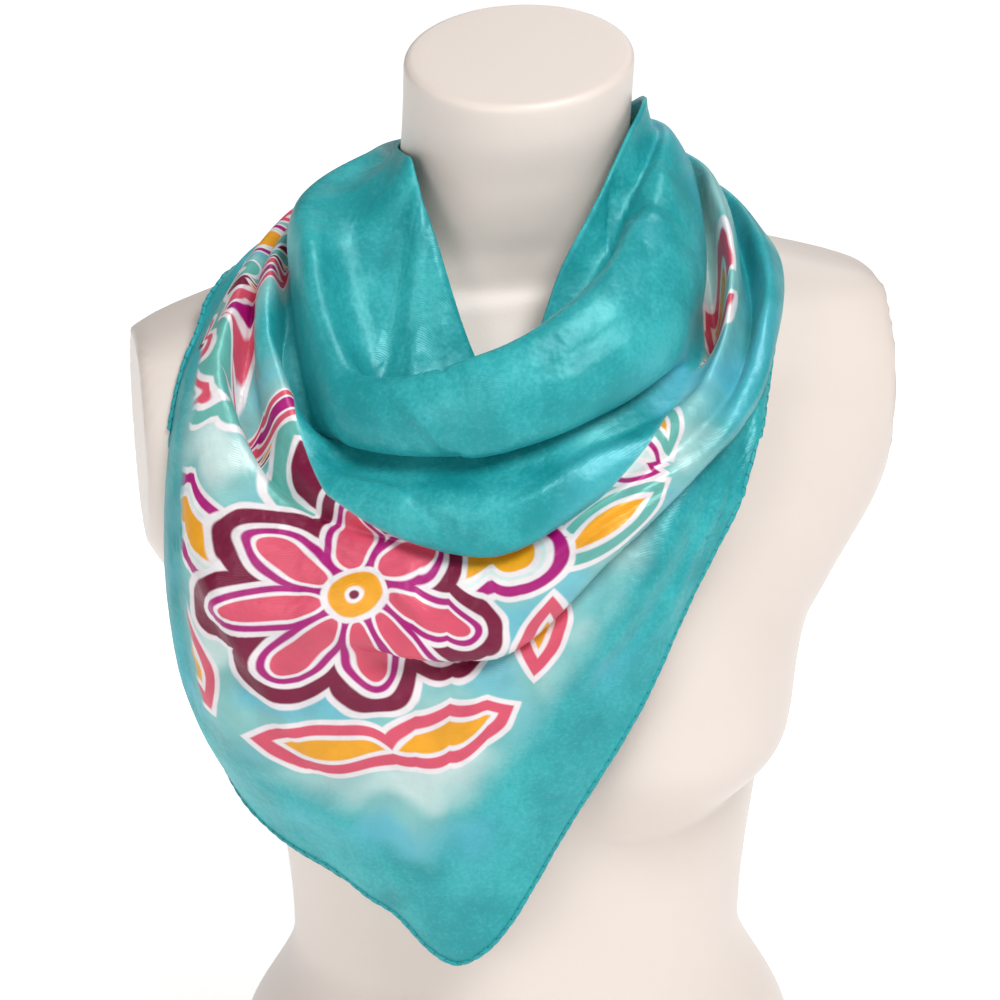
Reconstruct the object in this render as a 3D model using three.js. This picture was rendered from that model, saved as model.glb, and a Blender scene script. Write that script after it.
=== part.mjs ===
import * as THREE from 'three';

// Silk square folded on its diagonal and worn point forward over a torso display form.
// Millimetres, +Z up. The form faces -Y. An azimuth is counted in degrees from the front
// and grows towards +X, the form's left shoulder.

// Driving sizes
const WALL = 1.6;              // wall of the draped silk
const UNDER_WALL = 1.2;        // wall of the lower layer where it shows below the point
const SEAM = 0.3;              // gap between neighbouring pieces
const REST = 1.35;             // middle of the silk to the form where it rests
const HEM_RADIUS = 1.15;       // hand-rolled edge
const FORM_HEIGHT = 550;
const SHOULDER_END = 180;      // flat shoulder ends, from the middle
const NAPE_END = 168;          // azimuth where the gathered silk meets the knot
const BUST = { azimuth: 36, wide: 42, height: 230, up: 96, down: 52, out: 36 };
const COLOURS = { form: 0xe9e0d6, silk: 0x2fb5b5, under: 0x2aa3a6, hem: 0x1f8f93 };

// Form sections: height, half width, front depth, back depth, centre, squareness, lean back, lean side
const FORM = [
  [0, 152, 100, 114, 0, 2.2, 0, 0],
  [45, 141, 94, 106, 0, 2.2, 0, 0],
  [105, 114, 79, 83, 0, 2.2, 0, 0],
  [190, 122, 82, 92, 2, 2.3, 0, 0],
  [250, 136, 86, 100, 5, 2.4, 0, 0],
  [290, 158, 88, 106, 9, 2.5, 0, 0.01],
  [335, 184, 84, 104, 12, 2.6, 0, 0.02],
  [390, 198, 72, 96, 15, 2.7, 0, 0.04],
  [420, 186, 60, 84, 18, 2.6, 0, 0.04],
  [438, 138, 54, 74, 20, 2.5, 0, 0.04],
  [452, 92, 50, 64, 21, 2.2, 0.05, 0.04],
  [466, 66, 50, 57, 20, 2.1, 0.10, 0.05],
  [482, 58, 50, 54, 16, 2.0, 0.14, 0.06],
  [505, 53.5, 50, 52, 10, 2.0, 0.18, 0.07],
  [530, 53, 52, 53, 4, 2.0, 0.22, 0.08],
  [FORM_HEIGHT, 53, 53, 53, 0, 2.0, 0.23, 0.08],
];

// Folds from the neckline to the hem. Each pair is reach from the neck's axis and height,
// one pair for each azimuth of STATIONS.
const STATIONS = [-88, -80, -72, -62, -50, -18, 10, 32, 44, 56, 80];
const FOLDS = {
  neckline: [[55, 505], [56, 506], [57, 507], [59, 496], [62, 478], [68, 410], [55, 464], [54, 494],
    [54, 508], [55, 519], [58, 528]],
  valleyOne: [[80, 489], [83, 482], [87, 468], [90, 438], [92, 413], [80, 398], [66, 438], [60, 468],
    [60, 484], [61, 498], [63, 512]],
  rollOneTop: [[102, 487], [105, 482], [108, 476], [111, 446], [112, 424], [103, 441], [89, 466],
    [78, 483], [74, 494], [71, 504], [70, 513]],
  rollOneFace: [[109, 472], [112, 462], [115, 448], [119, 425], [122, 409], [119, 420], [111, 442],
    [101, 456], [96, 460], [92, 463], [81, 494]],
  rollOneLow: [[108, 456], [111, 442], [114, 412], [117, 401], [120, 392], [119, 397], [113, 413],
    [105, 428], [96, 433], [91, 434], [80, 479]],
  valleyTwo: [[112, 449], [116, 438], [120, 399], [118, 389], [106, 389], [103, 401], [97, 418],
    [97, 420], [100, 417], [99, 418], [85, 472]],
  rollTwoTop: [[116, 459], [121, 454], [127, 430], [127, 402], [119, 381], [114, 387], [110, 402],
    [107, 411], [109, 427], [104, 456], [88, 493]],
  rollTwoFace: [[121, 455], [128, 448], [135, 420], [134, 398], [131, 381], [130, 378], [123, 397],
    [115, 414], [112, 430], [108, 450], [97, 479]],
  rollTwoLow: [[122, 449], [129, 436], [135, 399], [138, 385], [137, 374], [134, 355], [127, 389],
    [121, 409], [115, 419], [111, 437], [98, 466]],
  valleyThree: [[125, 444], [133, 431], [144, 383], [142, 371], [136, 361], [121, 353], [125, 380],
    [123, 403], [120, 411], [116, 428], [103, 458]],
  rollThreeTop: [[130, 451], [139, 445], [152, 416], [149, 378], [143, 360], [133, 344], [132, 377],
    [129, 399], [126, 420], [122, 448], [109, 469]],
  rollThreeFace: [[136, 447], [148, 436], [163, 406], [161, 367], [152, 347], [140, 328], [136, 368],
    [132, 395], [132, 413], [128, 439], [117, 461]],
  rollThreeLow: [[140, 441], [156, 426], [172, 386], [170, 348], [159, 326], [138, 306], [132, 357],
    [129, 389], [129, 403], [127, 427], [121, 454]],
  valleyFour: [[143, 438], [160, 421], [178, 360], [175, 324], [161, 306], [123, 311], [119, 354],
    [118, 385], [118, 398], [117, 421], [115, 449]],
  bibTop: [[145.5, 435], [163.5, 415], [181, 318], [176, 298], [160, 286], [135, 292], [127, 339],
    [123, 376], [122, 391], [120, 413], [117, 445]],
  bibMiddle: [[148, 433], [166, 410], [177, 268], [171, 250], [156, 240], [136, 252], [130, 310],
    [128, 359], [125, 382], [122, 408], [119, 444]],
};

// Hem from one shoulder round the point to the other: azimuth, reach, height
const HEM = [
  [-88, 151, 431.5], [-84, 157.5, 424.5], [-80, 169, 404], [-77.5, 178, 360], [-75.5, 179, 318],
  [-73, 169, 262], [-70, 158, 218], [-62, 146, 198], [-50, 136, 186], [-38, 131, 164], [-30, 128, 150],
  [-24, 127, 144], [-17, 126, 156], [-11, 124, 176], [10, 124, 256], [32, 127, 336], [44, 127, 376],
  [56, 124, 402], [68, 121, 434], [80, 121, 444],
];
// Rows above the hem that follow it where it climbs, nearest first
const HEM_PULL = [1, 0.6, 0.3, 0.12];

// Gathers over the back: azimuth, inner reach, outer reach, top (right), top (left), low, pleat depth
const GATHERS = [
  [118, 60, 126, 514, 502, 449, 4],
  [150, 68, 106, 500, 500, 452, 2.6],
  [174, 76, 96, 490, 490, 462, 1],
];
const PLEATS = [0, -1, 1, 0.6, -0.4, -1, 1, 0.6, -0.4, -1, 1, 0.6, -0.4, -1, 0.3, 0.2, 0];

// Columns of the draped silk: from azimuth, to azimuth, steps
const COLUMN_SPANS = [
  [-NAPE_END, -92, 9], [-92, -80, 4], [-80, -70, 8], [-70, -30, 11], [-30, -24, 2], [-24, -10, 4],
  [-10, 84, 26], [84, NAPE_END, 9],
];

// How far the lower layer hangs past the hem: azimuth, distance
const PEEK = [[-68, 2.5], [-60, 4], [-50, 5], [-46, 1], [-42, -3], [-24, -4], [40, -3]];

const TAILS = {
  right: { side: -1, drift: 12, length: 268, wide: 52 },
  left: { side: 1, drift: 16, length: 246, wide: 48 },
};

const rad = (degrees) => degrees * Math.PI / 180;
const mix = (a, b, t) => a + (b - a) * t;
const clamp = (x, low, high) => Math.min(high, Math.max(low, x));

// Smooth curve through rows whose first column is the station; returns all other columns
function smoothRows(rows) {
  const n = rows.length, width = rows[0].length;
  const slope = rows.map(() => new Array(width).fill(0));
  for (let k = 1; k < width; k++) {
    const rise = (i) => (rows[i + 1][k] - rows[i][k]) / (rows[i + 1][0] - rows[i][0]);
    slope[0][k] = rise(0);
    slope[n - 1][k] = rise(n - 2);
    for (let i = 1; i < n - 1; i++) {
      const a = rise(i - 1), b = rise(i);
      slope[i][k] = a * b > 0 ? 2 * a * b / (a + b) : 0;
    }
  }
  return (x) => {
    let i = 0;
    while (i < n - 2 && x > rows[i + 1][0]) i++;
    const h = rows[i + 1][0] - rows[i][0], t = (x - rows[i][0]) / h;
    const t2 = t * t, t3 = t2 * t;
    const out = [];
    for (let k = 1; k < width; k++) {
      out.push((2 * t3 - 3 * t2 + 1) * rows[i][k] + (t3 - 2 * t2 + t) * h * slope[i][k]
        + (3 * t2 - 2 * t3) * rows[i + 1][k] + (t3 - t2) * h * slope[i + 1][k]);
    }
    return out;
  };
}

// Straight runs between rows whose first column is the station
function straightRows(rows) {
  return (x) => {
    let i = 0;
    while (i < rows.length - 2 && x > rows[i + 1][0]) i++;
    const t = clamp((x - rows[i][0]) / (rows[i + 1][0] - rows[i][0]), 0, 1);
    return rows[i].slice(1).map((v, k) => mix(v, rows[i + 1][k + 1], t));
  };
}

const formSection = smoothRows(FORM);
const hemAt = straightRows(HEM);
const peekAt = straightRows(PEEK);

// Distance from the section's centre to the form's skin, at an angle counted from +X
function formRadius(section, height, angle) {
  const [half, front, back, , square] = section;
  const c = Math.cos(angle), s = Math.sin(angle);
  const deep = s < 0 ? front : back;
  let r = (Math.abs(c / half) ** square + Math.abs(s / deep) ** square) ** (-1 / square);
  r = Math.min(r, SHOULDER_END / Math.max(Math.abs(c), 1e-6));
  const azimuth = Math.atan2(c, -s) * 180 / Math.PI;
  const rise = (height - BUST.height) / (height > BUST.height ? BUST.up : BUST.down);
  for (const side of [-1, 1]) {
    const turn = (azimuth - side * BUST.azimuth) / BUST.wide;
    r += BUST.out * Math.max(0, 1 - turn * turn - rise * rise) ** 1.5;
  }
  return r;
}

function formPoint(height, angle) {
  const section = formSection(height);
  const r = formRadius(section, height, angle);
  const x = r * Math.cos(angle), y = r * Math.sin(angle);
  return new THREE.Vector3(x, y + section[3], height + section[5] * y + section[6] * x);
}

// Radial excess over the form's skin; positive outside
function formExcess(x, y, z) {
  let height = clamp(z, 0, FORM_HEIGHT);
  let section = formSection(height);
  for (let k = 0; k < 3; k++) {
    height = clamp(z - section[5] * (y - section[3]) - section[6] * x, 0, FORM_HEIGHT);
    section = formSection(height);
  }
  const dy = y - section[3];
  return Math.hypot(x, dy) - formRadius(section, height, Math.atan2(dy, x));
}

// Moves a point out along the form's skin normal until it stands clear by the gap
function liftClear(point, gap) {
  const p = point.clone(), e = 0.5;
  for (let k = 0; k < 6; k++) {
    const grad = new THREE.Vector3(
      formExcess(p.x + e, p.y, p.z) - formExcess(p.x - e, p.y, p.z),
      formExcess(p.x, p.y + e, p.z) - formExcess(p.x, p.y - e, p.z),
      formExcess(p.x, p.y, p.z + e) - formExcess(p.x, p.y, p.z - e),
    ).divideScalar(2 * e);
    const steep = Math.max(1, grad.length());
    const lack = gap - formExcess(p.x, p.y, p.z) / steep;
    if (lack > 0) p.addScaledVector(grad, 0.9 * lack / steep);
  }
  return p;
}

// Reach and height of every fold at all stations, with the gathers of the back added
function foldStations() {
  const folds = Object.values(FOLDS);
  const rows = STATIONS.map((azimuth, i) => [azimuth, ...folds.flatMap((f) => f[i]), ...hemAt(azimuth)]);
  const gather = ([azimuth, inner, outer, topRight, topLeft, low, depth], side) => {
    const top = side > 0 ? topRight : topLeft;
    const pairs = PLEATS.flatMap((pleat, i) => {
      const k = i / (PLEATS.length - 1);
      return [mix(inner, outer, k) + 0.6 * depth * pleat, mix(top, low, k) + depth * pleat];
    });
    return [side * azimuth, ...pairs];
  };
  const left = GATHERS.map((g) => gather(g, -1)).reverse();
  const right = GATHERS.map((g) => gather(g, 1));
  return smoothRows([...left, ...rows, ...right]);
}

const foldsAt = foldStations();

// The fold points of one column, the rows near the hem pulled along with it
function columnPoints(azimuth) {
  const flat = foldsAt(azimuth);
  const pairs = [];
  for (let i = 0; i < flat.length; i += 2) pairs.push([flat[i], flat[i + 1]]);
  if (azimuth >= HEM[0][0] && azimuth <= HEM.at(-1)[0]) {
    const last = pairs.at(-1), want = hemAt(azimuth);
    const shift = [want[0] - last[0], want[1] - last[1]];
    HEM_PULL.forEach((w, k) => {
      const pair = pairs[pairs.length - 1 - k];
      pair[0] += w * shift[0];
      pair[1] += w * shift[1];
    });
  }
  const a = rad(azimuth);
  return pairs.map(([reach, height]) => (
    new THREE.Vector3(reach * Math.sin(a), -reach * Math.cos(a), height)));
}

// One column of the draped silk from neckline to hem, smooth through its folds
function drapeColumn(azimuth, perFold) {
  const p = columnPoints(azimuth), out = [];
  for (let i = 0; i < p.length - 1; i++) {
    const a = p[Math.max(i - 1, 0)], b = p[i], c = p[i + 1], d = p[Math.min(i + 2, p.length - 1)];
    for (let j = 0; j < perFold; j++) {
      const s = j / perFold;
      const wa = 0.5 * (-s + 2 * s * s - s ** 3), wb = 0.5 * (2 - 5 * s * s + 3 * s ** 3);
      const wc = 0.5 * (s + 4 * s * s - 3 * s ** 3), wd = 0.5 * (s ** 3 - s * s);
      out.push(new THREE.Vector3().addScaledVector(a, wa).addScaledVector(b, wb)
        .addScaledVector(c, wc).addScaledVector(d, wd));
    }
  }
  out.push(p.at(-1).clone());
  return out.map((q) => liftClear(q, REST));
}

function columnAzimuths(low, high) {
  const all = [COLUMN_SPANS[0][0]];
  for (const [from, to, steps] of COLUMN_SPANS) {
    for (let i = 1; i <= steps; i++) all.push(mix(from, to, i / steps));
  }
  return all.filter((a) => a >= low && a <= high);
}

// Normals of a grid of points [column][row], facing away from the neck's axis at the front
function gridNormals(grid) {
  return grid.map((column, i) => column.map((_, j) => {
    const along = grid[Math.min(i + 1, grid.length - 1)][j].clone().sub(grid[Math.max(i - 1, 0)][j]);
    const down = column[Math.min(j + 1, column.length - 1)].clone().sub(column[Math.max(j - 1, 0)]);
    return down.cross(along).normalize();
  }));
}

function meshFrom(name, points, faces, colour) {
  let volume = 0;
  for (const [a, b, c] of faces) volume += points[a].dot(points[b].clone().cross(points[c]));
  const index = faces.flatMap(([a, b, c]) => (volume > 0 ? [a, b, c] : [a, c, b]));
  const geometry = new THREE.BufferGeometry();
  const places = points.flatMap((p) => [p.x, p.y, p.z]);
  geometry.setAttribute('position', new THREE.Float32BufferAttribute(places, 3));
  geometry.setIndex(index);
  geometry.computeVertexNormals();
  const material = new THREE.MeshStandardMaterial({ color: colour, roughness: 0.5, metalness: 0 });
  const mesh = new THREE.Mesh(geometry, material);
  mesh.name = name;
  return mesh;
}

// Closed shell round a grid of middle points
function shellMesh(name, grid, wall, colour) {
  const normals = gridNormals(grid), rows = grid[0].length, count = grid.length * rows;
  const side = (sign) => grid.flatMap((column, i) => column.map((p, j) => (
    p.clone().addScaledVector(normals[i][j], sign * wall / 2))));
  const points = [...side(1), ...side(-1)];
  const faces = [], at = (i, j) => i * rows + j;
  for (let i = 0; i < grid.length - 1; i++) {
    for (let j = 0; j < rows - 1; j++) {
      const a = at(i, j), b = at(i + 1, j), c = at(i + 1, j + 1), d = at(i, j + 1);
      faces.push([a, b, c], [a, c, d]);
      faces.push([a + count, c + count, b + count], [a + count, d + count, c + count]);
    }
  }
  const rim = (a, b) => faces.push([a, a + count, b + count], [a, b + count, b]);
  for (let i = 0; i < grid.length - 1; i++) {
    rim(at(i, 0), at(i + 1, 0));
    rim(at(i + 1, rows - 1), at(i, rows - 1));
  }
  for (let j = 0; j < rows - 1; j++) {
    rim(at(0, j + 1), at(0, j));
    rim(at(grid.length - 1, j), at(grid.length - 1, j + 1));
  }
  return meshFrom(name, points, faces, colour);
}

// Closed body through rings of equal length, flat caps fanned from their middles
function ringMesh(name, rings, colour) {
  const n = rings[0].length, points = rings.flat(), faces = [];
  for (let i = 0; i < rings.length - 1; i++) {
    for (let j = 0; j < n; j++) {
      const a = i * n + j, b = i * n + (j + 1) % n;
      faces.push([a, b, b + n], [a, b + n, a + n]);
    }
  }
  const middle = (ring) => ring.reduce((sum, p) => sum.add(p), new THREE.Vector3()).divideScalar(n);
  const first = points.push(middle(rings[0])) - 1, last = points.push(middle(rings.at(-1))) - 1;
  const top = (rings.length - 1) * n;
  for (let j = 0; j < n; j++) {
    faces.push([first, (j + 1) % n, j], [last, top + j, top + (j + 1) % n]);
  }
  return meshFrom(name, points, faces, colour);
}

// Round tube along a path, its rings square to the path
function tubeMesh(name, path, radius, sides, colour) {
  const rings = path.map((p, i) => {
    const ahead = path[Math.min(i + 1, path.length - 1)], behind = path[Math.max(i - 1, 0)];
    const along = ahead.clone().sub(behind).normalize();
    const across = new THREE.Vector3(0, 0, 1).cross(along);
    if (across.length() < 0.2) across.set(1, 0, 0).cross(along);
    across.normalize();
    const up = along.clone().cross(across);
    return Array.from({ length: sides }, (_, k) => {
      const t = 2 * Math.PI * k / sides;
      return p.clone().addScaledVector(across, radius * Math.cos(t))
        .addScaledVector(up, radius * Math.sin(t));
    });
  });
  return ringMesh(name, rings, colour);
}

// Torso form: waist, bust and shoulders, with flat shoulder ends, flat neck cap and flat base
function dressForm() {
  const heights = [0, 22, 45, 75, 105, 135, 165, 182, 198, 214, 230, 248, 268, 290, 312, 335, 362, 390,
    406, 420, 430, 438, 445, 452, 459, 466, 474, 482, 493, 505, 518, 530, FORM_HEIGHT];
  const around = 48;
  const rings = heights.map((z) => Array.from({ length: around }, (_, k) => (
    formPoint(z, 2 * Math.PI * k / around))));
  return ringMesh('dress_form', rings, COLOURS.form);
}

const drapeGrid = columnAzimuths(-NAPE_END, NAPE_END).map((a) => drapeColumn(a, 2));

function frontDrape() {
  return shellMesh('front_drape', drapeGrid, WALL, COLOURS.silk);
}

// Path beside the last row of a grid, clear of its edge by the seam gap, mitred where the edge turns
function edgePath(grid, radius) {
  const normals = gridNormals(grid), last = grid[0].length - 1;
  return grid.map((column, i) => {
    const p = column[last];
    const before = p.clone().sub(grid[Math.max(i - 1, 0)][last]).normalize();
    const after = grid[Math.min(i + 1, grid.length - 1)][last].clone().sub(p).normalize();
    const along = before.add(after), mitre = Math.min(1.5, 2 / Math.max(along.length(), 1e-6));
    const out = along.clone().cross(normals[i][last]).normalize();
    return p.clone().addScaledVector(out, (radius + 2.5 * SEAM) * (i && i < grid.length - 1 ? mitre : 1));
  });
}

function drapeHem() {
  const path = edgePath(drapeGrid, HEM_RADIUS).map((p) => liftClear(p, HEM_RADIUS + SEAM));
  return tubeMesh('drape_hem', path, HEM_RADIUS, 6, COLOURS.hem);
}

// Lower layer of the folded square below the last fold, a little behind the upper one
const underGrid = (() => {
  const normals = gridNormals(drapeGrid), azimuths = columnAzimuths(-NAPE_END, NAPE_END);
  const drop = WALL / 2 + 0.65 + UNDER_WALL / 2, firstRow = drapeGrid[0].length - 6;
  const grid = [];
  azimuths.forEach((azimuth, i) => {
    if (azimuth < -67 || azimuth > 40) return;
    const column = drapeGrid[i].slice(firstRow).map((p, j) => (
      p.clone().addScaledVector(normals[i][firstRow + j], -drop)));
    const down = column.at(-1).clone().sub(column.at(-2)).normalize();
    column.at(-1).addScaledVector(down, peekAt(azimuth)[0]);
    grid.push(column);
  });
  return grid;
})();

function underLayer() {
  return shellMesh('under_layer', underGrid, UNDER_WALL, COLOURS.under);
}

function underHem() {
  return tubeMesh('under_hem', edgePath(underGrid, 0.9), 0.9, 6, COLOURS.hem);
}

// Knot at the nape: a barrel along the azimuth between the two gathered ends
function napeKnot() {
  const rings = [], steps = 14, around = 20, gap = 0.25;
  for (let i = 0; i <= steps; i++) {
    const k = i / steps, azimuth = mix(NAPE_END + gap, 360 - NAPE_END - gap, k);
    const bulge = Math.sin(Math.PI * k) ** 0.8;
    const band = Math.exp(-(((k - 0.5) / 0.2) ** 2));
    const a = rad(azimuth);
    rings.push(Array.from({ length: around }, (_, j) => {
      const t = 2 * Math.PI * j / around;
      const twist = 1 + 0.05 * Math.sin(3 * t + 5 * k);
      const across = (6.5 + 6 * bulge + 2 * band) * Math.cos(t) * twist;
      const tall = (14 + 1.5 * bulge + 2.5 * band) * Math.sin(t) * twist;
      const reach = 91 + 4 * bulge + across * 0.86 - tall * 0.5;
      const height = 475 + across * 0.5 + tall * 0.86;
      return new THREE.Vector3(reach * Math.sin(a), -reach * Math.cos(a), height);
    }));
  }
  return ringMesh('nape_knot', rings, COLOURS.silk);
}

// One hanging end: a pleated strip that widens from the knot and runs out to the square's corner
function tailGrid({ side, drift, length, wide }) {
  const rows = 22, across = 12, pleats = 2.5;
  const grid = Array.from({ length: across + 1 }, () => []);
  for (let i = 0; i <= rows; i++) {
    const k = i / rows, open = mix(13, wide, Math.min(1, 2.2 * k) ** 0.8);
    const width = Math.min(open, 0.92 * length * (1 - k) + 3);
    const depth = Math.min(3.2, (width / pleats) ** 2 / 50);
    const middle = side * (2.4 + open / 2 + drift * k);
    for (let j = 0; j <= across; j++) {
      const u = j / across - 0.5;
      const y = 96 + 8 * Math.min(1, 3 * k) + depth * (1 + Math.cos(2 * Math.PI * pleats * u));
      grid[j].push(new THREE.Vector3(middle + u * width, y, 456.6 - length * k));
    }
  }
  return grid;
}

function tail(name, shape) {
  const grid = tailGrid(shape).map((column) => column.map((p) => liftClear(p, REST)));
  return shellMesh(name, grid, WALL, COLOURS.silk);
}

const scarf = new THREE.Group();
scarf.name = 'silk_square_scarf';
scarf.add(
  dressForm(), frontDrape(), drapeHem(), underLayer(), underHem(), napeKnot(),
  tail('tail_right', TAILS.right), tail('tail_left', TAILS.left),
);

export default scarf;
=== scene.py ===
import math
import bpy
import numpy as np
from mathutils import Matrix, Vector


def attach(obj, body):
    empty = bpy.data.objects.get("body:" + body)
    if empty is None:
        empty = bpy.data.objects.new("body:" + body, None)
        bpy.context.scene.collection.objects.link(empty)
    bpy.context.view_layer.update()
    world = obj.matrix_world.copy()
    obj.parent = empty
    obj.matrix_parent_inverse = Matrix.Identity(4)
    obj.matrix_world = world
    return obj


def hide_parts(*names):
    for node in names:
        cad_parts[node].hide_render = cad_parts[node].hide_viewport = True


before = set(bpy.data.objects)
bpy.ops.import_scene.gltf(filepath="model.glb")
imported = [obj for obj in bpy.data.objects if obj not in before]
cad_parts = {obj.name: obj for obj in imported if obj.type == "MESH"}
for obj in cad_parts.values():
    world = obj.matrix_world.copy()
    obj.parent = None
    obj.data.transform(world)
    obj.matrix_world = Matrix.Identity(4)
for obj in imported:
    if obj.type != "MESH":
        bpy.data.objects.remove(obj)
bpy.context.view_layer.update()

# The view. A standing eye a little above the shoulders looks down at the front of the scarf, turned
# slightly towards the form's right shoulder, with a long lens.
view_turn, view_rise = math.radians(-11), math.radians(21)
view_aim = Vector((-0.009, 0, 0.331))
view_back = Vector((math.sin(view_turn) * math.cos(view_rise),
                    -math.cos(view_turn) * math.cos(view_rise), math.sin(view_rise)))
camera = bpy.data.objects.new("camera", bpy.data.cameras.new("camera"))
camera.data.lens = 104
camera.data.sensor_width = 36
camera.location = view_aim + 1.4 * view_back
camera.rotation_euler = view_back.to_track_quat("Z", "Y").to_euler()
bpy.context.scene.collection.objects.link(camera)
bpy.context.scene.camera = camera

# The torso form. A hollow display torso without head or arms, moulded in satin off-white plastic,
# cut flat at the neck, the shoulder ends and the base. Sizes are in millimetres.
MM = 0.001
FORM_HEIGHT = 550
SHOULDER_END = 180
BUST = {"azimuth": 36, "wide": 42, "height": 230, "up": 96, "down": 52, "out": 36}
# height, half width, front depth, back depth, centre, squareness, lean back, lean side
FORM = np.array([
    [0, 152, 100, 114, 0, 2.2, 0, 0],
    [45, 141, 94, 106, 0, 2.2, 0, 0],
    [105, 114, 79, 83, 0, 2.2, 0, 0],
    [190, 122, 82, 92, 2, 2.3, 0, 0],
    [250, 136, 86, 100, 5, 2.4, 0, 0],
    [290, 158, 88, 106, 9, 2.5, 0, 0.01],
    [335, 184, 84, 104, 12, 2.6, 0, 0.02],
    [390, 198, 72, 96, 15, 2.7, 0, 0.04],
    [420, 186, 60, 84, 18, 2.6, 0, 0.04],
    [438, 138, 54, 74, 20, 2.5, 0, 0.04],
    [452, 92, 50, 64, 21, 2.2, 0.05, 0.04],
    [466, 66, 50, 57, 20, 2.1, 0.10, 0.05],
    [482, 58, 50, 54, 16, 2.0, 0.14, 0.06],
    [505, 53.5, 50, 52, 10, 2.0, 0.18, 0.07],
    [530, 53, 52, 53, 4, 2.0, 0.22, 0.08],
    [FORM_HEIGHT, 53, 53, 53, 0, 2.0, 0.23, 0.08],
])


def smooth_curve(rows):
    """Cubic curve through rows whose first column is the station. The slope at a row is the harmonic
    mean of the slopes on its two sides, or nought where they differ in sign."""
    x, y = rows[:, 0], rows[:, 1:]
    rise = np.diff(y, axis=0) / np.diff(x)[:, None]
    slope = np.empty_like(y)
    slope[0], slope[-1] = rise[0], rise[-1]
    before, after = rise[:-1], rise[1:]
    same = before * after > 0
    slope[1:-1] = np.where(same, 2 * before * after / np.where(same, before + after, 1), 0)

    def at(q):
        i = np.clip(np.searchsorted(x, q, side="right") - 1, 0, len(x) - 2)
        h = (x[i + 1] - x[i])[..., None]
        t = (q - x[i])[..., None] / h
        return ((2 * t**3 - 3 * t**2 + 1) * y[i] + (t**3 - 2 * t**2 + t) * h * slope[i]
                + (3 * t**2 - 2 * t**3) * y[i + 1] + (t**3 - t**2) * h * slope[i + 1])
    return at


form_section = smooth_curve(FORM)


def form_radius(section, height, angle):
    """Distance from a section's centre to the skin: a squared-off oval, cut by the flat shoulder
    ends, with two smooth swellings for the bust."""
    c, s = np.cos(angle), np.sin(angle)
    deep = np.where(s < 0, section[..., 1], section[..., 2])
    square = section[..., 4]
    r = (np.abs(c / section[..., 0]) ** square + np.abs(s / deep) ** square) ** (-1 / square)
    r = np.minimum(r, SHOULDER_END / np.maximum(np.abs(c), 1e-6))
    azimuth = np.degrees(np.arctan2(c, -s))
    rise = (height - BUST["height"]) / np.where(height > BUST["height"], BUST["up"], BUST["down"])
    for side in (-1, 1):
        turn = (azimuth - side * BUST["azimuth"]) / BUST["wide"]
        r = r + BUST["out"] * np.maximum(0, 1 - turn**2 - rise**2) ** 1.5
    return r


def form_excess(p):
    """Radial distance of points from the form's skin, positive outside."""
    height = np.clip(p[..., 2], 0, FORM_HEIGHT)
    section = form_section(height)
    for _ in range(3):
        lean = section[..., 5] * (p[..., 1] - section[..., 3]) + section[..., 6] * p[..., 0]
        height = np.clip(p[..., 2] - lean, 0, FORM_HEIGHT)
        section = form_section(height)
    y = p[..., 1] - section[..., 3]
    return np.hypot(p[..., 0], y) - form_radius(section, height, np.arctan2(y, p[..., 0]))


def lift_clear(points, gap, rounds=6):
    """Moves points out along the form's skin normal, from the slope of the excess, until they
    stand clear of the form by the gap."""
    p, step = points.copy(), 0.5
    for _ in range(rounds):
        slope = np.stack([form_excess(p + step * e) - form_excess(p - step * e)
                          for e in np.eye(3)], -1) / (2 * step)
        steep = np.maximum(1, np.linalg.norm(slope, axis=-1))
        lack = gap - form_excess(p) / steep
        p += np.where(lack > 0, 0.9 * lack / steep, 0)[..., None] * slope
    return p


def make_piece(name, points, faces, flat=None, marks=None):
    """A mesh object from points in millimetres and faces. Flat gives each point's place in the flat
    cloth, kept as its UV map, and marks are named values on its points."""
    mesh = bpy.data.meshes.new(name)
    mesh.from_pydata((points * MM).tolist(), [], faces)
    mesh.polygons.foreach_set("use_smooth", np.ones(len(mesh.polygons), bool))
    if flat is not None:
        corner = np.empty(len(mesh.loops), np.int32)
        mesh.loops.foreach_get("vertex_index", corner)
        layer = mesh.uv_layers.new(name="flat")
        layer.data.foreach_set("uv", (flat * MM)[corner].astype(np.float32).ravel())
    for mark, values in (marks or {}).items():
        mesh.attributes.new(mark, "FLOAT", "POINT").data.foreach_set("value", values.astype(np.float32))
    mesh.update()
    piece = bpy.data.objects.new(name, mesh)
    bpy.context.scene.collection.objects.link(piece)
    return piece


def ring_faces(rings, around):
    """Quads between rings of equal count, each ring closed on itself."""
    i, j = np.meshgrid(np.arange(rings - 1), np.arange(around), indexing="ij")
    k = (j + 1) % around
    a, b = i * around + j, i * around + k
    return np.stack([a, b, b + around, a + around], -1).reshape(-1, 4)


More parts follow.
